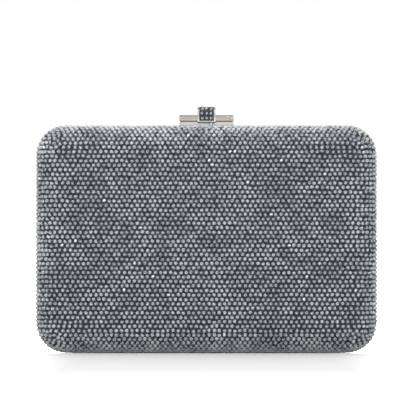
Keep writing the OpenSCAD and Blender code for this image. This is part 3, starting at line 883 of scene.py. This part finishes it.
def slider_path(s):
    """Place and normal at a distance up the setting's front, over its top and down its back."""
    rise = SETTING_H - FOOT_H - SETTING_R
    bend = math.pi / 2 * SETTING_R
    top = SETTING_W - 2 * SETTING_R
    total = 2 * rise + 2 * bend + top
    back = s > total / 2
    d = total - s if back else s
    if d < rise:
        y, z, ny, nz = -SETTING_W / 2, FOOT_H + d, -1.0, 0.0
    elif d < rise + bend:
        a = (d - rise) / SETTING_R
        ny, nz = -math.cos(a), math.sin(a)
        y = SETTING_R - SETTING_W / 2 + SETTING_R * ny
        z = SETTING_H - SETTING_R + SETTING_R * nz
    else:
        y, z, ny, nz = d - rise - bend + SETTING_R - SETTING_W / 2, SETTING_H, 0.0, 1.0
    flip = -1 if back else 1
    return Vector((0, flip * y, CHEEK_LOW.z + z)), Vector((0, flip * ny, nz)), total


def slider_stone_places():
    total = slider_path(0)[2]
    start = SLIDER_STONE_R + 0.12
    rows = int((total - 2 * start) / SLIDER_STONE_PITCH) + 1
    pitch = (total - 2 * start) / (rows - 1)
    columns = int(SETTING_L / SLIDER_STONE_PITCH)
    for i in range(rows):
        point, normal, _ = slider_path(start + i * pitch)
        for j in range(columns):
            x = (j - (columns - 1) / 2) * SLIDER_STONE_PITCH
            yield point + Vector((x, 0, 0)), normal


def dress_slider():
    rng = random.Random(7)
    stones = [
        (point + normal * SLIDER_STONE_PROUD, normal, Vector((1, 0, 0)), SLIDER_STONE_R)
        for point, normal in slider_stone_places()
    ]
    ob = crystal_mesh("slider_stones_cut", stones, STONES, rng, height=SLIDER_STONE_HEIGHT)
    place(ob, "slider", "dark_stone", "slider_stones")


dress_slider()


# Metal parts

PLATE_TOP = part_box("front_clasp_plate")[1].z / MM
BAR_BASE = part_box("clasp_bar")[0].z / MM
# How high the painted shadow under the slider on the front plate's edge is
SLIDER_SHADOW_H = 0.65
# How far the painted shadow reaches round the locating post
POST_SHADOW_W = 0.3


def score(ob, *planes):
    """Cuts an object's faces along planes, each a point in millimetres and a normal."""
    bm = bmesh.new()
    bm.from_mesh(ob.data)
    for point, normal in planes:
        geom = bm.verts[:] + bm.edges[:] + bm.faces[:]
        at = tuple(c * MM for c in point)
        bmesh.ops.bisect_plane(bm, geom=geom, plane_co=at, plane_no=normal)
    bm.to_mesh(ob.data)
    bm.free()


def dull(ob, material, chosen):
    """Gives a second material to the faces chosen by x and z, in millimetres, and their upward share."""
    ob.data.materials.append(material)
    for p in ob.data.polygons:
        if chosen(p.center.x / MM, p.center.z / MM, p.normal.z):
            p.material_index = 1


def shade_groove(ob):
    """The upright faces between the plates and the bar, in the recess under the bar, get painted shade.
    """
    score(ob, ((0, 0, PLATE_TOP), (0, 0, 1)))
    dull(ob, GROOVE_SHADE, lambda x, z, up: PLATE_TOP < z < BAR_BASE and abs(up) < 0.5)


def paint_slider_shadow(ob):
    """The front plate's edge gets a painted shadow where the slider stands over it while the case is
    shut.
    """
    end = CHEEK_LOW.x
    low = PLATE_TOP - SLIDER_SHADOW_H
    score(ob, ((end, 0, 0), (1, 0, 0)), ((-end, 0, 0), (1, 0, 0)), ((0, 0, low), (0, 0, 1)))
    dull(ob, PAINTED_SHADOW_NICKEL, lambda x, z, up: end < x < -end and z > low)


def shade_underside(ob):
    """The slider's underside, which runs just over the plates, gets painted shade."""
    dull(ob, UNDERSIDE_SHADE, lambda x, z, up: z < BAR_BASE and up < -0.6)


EASED = [
    # node, material, body, slot, width of the eased edges
    ("clasp_bar", WARM_NICKEL, "back_half", "clasp_nickel", 0.12),
    ("bar_end_caps", WARM_NICKEL, "back_half", "clasp_nickel", 0.1),
    ("cap_pins", NICKEL, "back_half", "clasp_nickel", 0.05),
    ("back_clasp_plate", NICKEL, "back_half", "clasp_nickel", 0.45),
    ("front_clasp_plate", NICKEL, "front_half", "clasp_nickel", 0.5),
    ("locating_post", NICKEL, "front_half", "clasp_nickel", 0.08),
    ("slider_cheeks", NICKEL, "slider", "clasp_nickel", 0.15),
    ("slider_core", NICKEL, "slider", "clasp_nickel", 0.08),
    ("slider_setting", SETTING, "slider", "black_setting", 0.04),
    ("slider_tongue", STEEL, "slider", "fastener_steel", 0.06),
    ("back_frame", RIM_NICKEL, "back_half", "rim_nickel", 0.12),
    ("front_frame", RIM_NICKEL, "front_half", "rim_nickel", 0.12),
    ("guide_lip", RIM_NICKEL, "back_half", "rim_nickel", 0.12),
    ("back_hinge_leaf", STEEL, "back_half", "hinge_steel", 0.08),
    ("front_hinge_leaf", STEEL, "front_half", "hinge_steel", 0.08),
    ("hinge_pin", SCREW_STEEL, "back_half", "fastener_steel", 0.08),
    ("back_hinge_rivets", SCREW_STEEL, "back_half", "fastener_steel", 0.08),
    ("front_hinge_rivets", SCREW_STEEL, "front_half", "fastener_steel", 0.08),
    ("clasp_screws", SCREW_STEEL, "back_half", "fastener_steel", 0.08),
    ("latch_screws", SCREW_STEEL, "back_half", "fastener_steel", 0.08),
    ("latch_housing", RIM_NICKEL, "back_half", "rim_nickel", 0.1),
    ("front_plate_rivets", SCREW_STEEL, "front_half", "fastener_steel", 0.08),
    ("catch_bracket", RIM_NICKEL, "front_half", "rim_nickel", 0.08),
    ("catch_peg", NICKEL, "front_half", "clasp_nickel", 0.06),
    ("bracket_rivets", SCREW_STEEL, "front_half", "fastener_steel", 0.08),
]
for node, material, body, slot, width in EASED:
    eased = bevelled(node, material, body, slot, width)
    if node == "back_clasp_plate":
        shade_groove(eased)
    if node == "front_clasp_plate":
        paint_slider_shadow(eased)
    if body == "slider":
        shade_underside(eased)


def post_shadow():
    """A painted shadow on both sides of the locating post, against its plate, as a thin dark sheet."""
    low, high = (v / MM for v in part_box("locating_post"))
    x = (low.x + high.x) / 2
    wide = (high.x - low.x) / 2 + POST_SHADOW_W
    top = high.z - 0.1 - wide
    turns = [math.pi * i / 8 for i in range(9)]
    arch = [(x - wide, low.z + 0.3)]
    arch += [(x - wide * math.cos(a), top + wide * math.sin(a)) for a in turns]
    arch += [(x + wide, low.z + 0.3)]
    n = len(arch)
    verts = [(px, y, pz) for y in (high.y - 0.12, high.y + 0.1) for px, pz in arch]
    faces = [tuple(range(n)), tuple(range(2 * n - 1, n - 1, -1))] + band(0, n, n)
    ob = new_object("post_shadow", verts, faces, [PAINTED_SHADOW_NICKEL])
    face_outwards(ob.data)
    place(ob, "front_half", "clasp_nickel")


post_shadow()
for node in ("back_shell", "front_shell"):
    assign(node, BRASS)
for node in ("lock_spring", "return_spring"):
    assign(node, SPRING_STEEL)


# Stage, light and camera


def area_light(name, place_m, size, radiance, glossy):
    """A soft lamp that points at the object's middle. glossy says whether reflections show it."""
    data = bpy.data.lights.new(name, "AREA")
    data.shape = "RECTANGLE"
    data.size, data.size_y = size
    data.energy = radiance * math.pi * size[0] * size[1]
    ob = in_scene(name, data)
    ob.location = place_m
    aim = Vector((0, 0, MID_Z * MM)) - Vector(place_m)
    ob.rotation_euler = aim.to_track_quat("-Z", "Y").to_euler()
    ob.visible_glossy = glossy


# Each lamp: its name, its place and size in metres, how bright it is, and whether reflections show it
LAMPS = [
    ("key", (-0.05, -0.25, 0.36), (0.5, 0.2), 7.4, False),
    ("fill", (0.9, -1.2, 0.7), (0.6, 0.6), 3.0, True),
    ("overhead", (0.0, -0.05, 0.9), (1.0, 0.6), 5.0, False),
    ("back", (0.0, 0.7, 1.1), (1.2, 0.8), 3.2, False),
]

# Where the floor's shadow starts to fade and where it is gone, in metres from the middle. A catcher's
# shadow is already gone where this small share of the floor is clear, and this much further out all is
FADES = {"X": (0.061, 0.079), "Y": (0.13, 0.24)}
CLEAR = 0.13
FURTHER = 1.1
# From this far in front of the middle, and over this length, the shadow's end moves in along the case
# by this much
SOONER_Y = 0.018
SOONER_L = 0.006
SOONER_X = 0.015
# How much of the floor under the case lets light up to its lowest stones, and where it ends
UNDER_SHARE = 0.45
UNDER_ENDS = (0.015, 0.025)
# The floor reaches this far, and the front half swings down through this part of it: (x, near y, far y)
FLOOR_R = 6.0
FLAP = (0.088, -0.0025, -0.135)
# A sheet of floor counts as level while the upward share of its normal is above this
LEVEL = 0.999


def floor_sheet(name, rectangles, material):
    """A level sheet at z = 0, of rectangles (low x, low y, high x, high y) in metres."""
    verts, faces = [], []
    for x0, y0, x1, y1 in rectangles:
        faces.append(tuple(range(len(verts), len(verts) + 4)))
        verts += [(x0, y0, 0), (x1, y0, 0), (x1, y1, 0), (x0, y1, 0)]
    me = bpy.data.meshes.new(name)
    me.from_pydata(verts, [], faces)
    me.materials.append(material)
    ob = in_scene(name, me)
    ob.is_shadow_catcher = True
    return ob


def floor_material():
    """Pale, but clear to the camera away from the case, and clear where it isn't level."""
    m, shader, tree = new_material("floor_white")
    set_sockets(shader, Base_Color=(0.5, 0.5, 0.5, 1), Roughness=0.3)
    shader.inputs["Specular IOR Level"].default_value = 0.0025
    split = tree.nodes.new("ShaderNodeSeparateXYZ")
    tree.links.new(object_coords(tree), split.inputs[0])
    away = {axis: math_node(tree, "ABSOLUTE", split.outputs[axis]) for axis in FADES}
    # from under the front face back, the shadow ends sooner along the case
    slope = 1 / SOONER_L
    behind = math_node(tree, "MULTIPLY_ADD", split.outputs["Y"], slope, SOONER_Y / SOONER_L, clamp=True)
    fade_at = {"X": math_node(tree, "MULTIPLY_ADD", behind, SOONER_X, away["X"]), "Y": away["Y"]}
    fades = [
        ramp(tree, fade_at[axis], (first, 0.0), (last, CLEAR), (FURTHER * last, 1.0))
        for axis, (first, last) in FADES.items()
    ]
    camera_ray = tree.nodes.new("ShaderNodeLightPath").outputs["Is Camera Ray"]
    to_camera = math_node(tree, "MULTIPLY", math_node(tree, "MAXIMUM", *fades), camera_ray)
    # light comes up through the floor close to the case, onto its lowest stones
    under = ramp(tree, away["Y"], (UNDER_ENDS[0], UNDER_SHARE), (UNDER_ENDS[1], 0.0))
    to_light = math_node(tree, "MULTIPLY", under, math_node(tree, "SUBTRACT", 1.0, camera_ray))
    seen = math_node(tree, "MAXIMUM", to_camera, to_light)
    # the flap is no floor once it has swung off the level
    facing = tree.nodes.new("ShaderNodeSeparateXYZ")
    tree.links.new(tree.nodes.new("ShaderNodeNewGeometry").outputs["Normal"], facing.inputs[0])
    swung = math_node(tree, "LESS_THAN", math_node(tree, "ABSOLUTE", facing.outputs["Z"]), LEVEL)
    gone = math_node(tree, "MAXIMUM", seen, swung)
    clear = tree.nodes.new("ShaderNodeBsdfTransparent")
    mix_shaders(tree, gone, shader, clear, tree.nodes["Material Output"])
    return m


def make_floor():
    """A floor with the case's shadow. Its flap makes way for the front half, which opens below it."""
    m = floor_material()
    r, (x, near, far) = FLOOR_R, FLAP
    around = [(-r, near, r, r), (-r, -r, r, far), (-r, far, -x, near), (x, far, r, near)]
    floor_sheet("floor", around, m)
    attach(floor_sheet("floor_flap", [(-x, far, x, near)], m), "front_half")


def make_world():
    """White all round and grey overhead where it is seen or reflected, and a dimmer dome as a light."""
    world = bpy.data.worlds.new("studio")
    bpy.context.scene.world = world
    world.use_nodes = True
    tree = world.node_tree
    tree.nodes.clear()
    out = tree.nodes.new("ShaderNodeOutputWorld")
    coords = tree.nodes.new("ShaderNodeTexCoord")
    split = tree.nodes.new("ShaderNodeSeparateXYZ")
    tree.links.new(coords.outputs["Generated"], split.inputs[0])
    behind = math_node(tree, "MAXIMUM", split.outputs["Y"], 0.0)
    height = math_node(tree, "MULTIPLY_ADD", behind, -0.9, split.outputs["Z"])
    sky = ramp(tree, height, (0.3, 1.0), (0.65, 0.45))
    lift = math_node(tree, "MULTIPLY_ADD", behind, 0.7, split.outputs["Z"])
    dome = ramp(tree, lift, (0.0, 0.2), (0.5, 0.3), (0.9, 1.0))
    seen = tree.nodes.new("ShaderNodeBackground")
    tree.links.new(sky, seen.inputs["Color"])
    lit = tree.nodes.new("ShaderNodeBackground")
    tree.links.new(dome, lit.inputs["Color"])
    lit.inputs["Strength"].default_value = 1.2
    path = tree.nodes.new("ShaderNodeLightPath").outputs
    mirrored_too = math_node(tree, "MAXIMUM", path["Is Camera Ray"], path["Is Glossy Ray"])
    direct = math_node(tree, "MAXIMUM", mirrored_too, path["Is Transmission Ray"])
    mix_shaders(tree, direct, lit, seen, out)


# The photograph is level and straight on. The case's width, the picture's, and the case's place in it,
# in pixels
CASE_PX = 340.6
FRAME_PX = 415
CENTRE_X_PX, BASE_Y_PX = 206.5, 351.5
# How far off the camera stands, in metres, and how much wider the case's widest part shows than the
# plane of the seam does. A pixel's size at that plane follows, in millimetres
DISTANCE = 1.2
NEARER = 1.0063
PX = CASE_W * NEARER / CASE_PX


def make_camera():
    data = bpy.data.cameras.new("camera")
    data.sensor_width = 36
    data.lens = data.sensor_width * DISTANCE / (FRAME_PX * PX * MM)
    data.clip_start, data.clip_end = 0.05, 50
    ob = in_scene("camera", data)
    x = (FRAME_PX / 2 - CENTRE_X_PX) * PX * MM
    z = (BASE_Y_PX - FRAME_PX / 2) * PX * MM
    ob.location = (x, -DISTANCE, z)
    ob.rotation_euler = (math.pi / 2, 0, 0)
    bpy.context.scene.camera = ob


make_floor()
make_world()
make_camera()
for lamp in LAMPS:
    area_light(*lamp)
bpy.context.scene.view_settings.view_transform = "Standard"
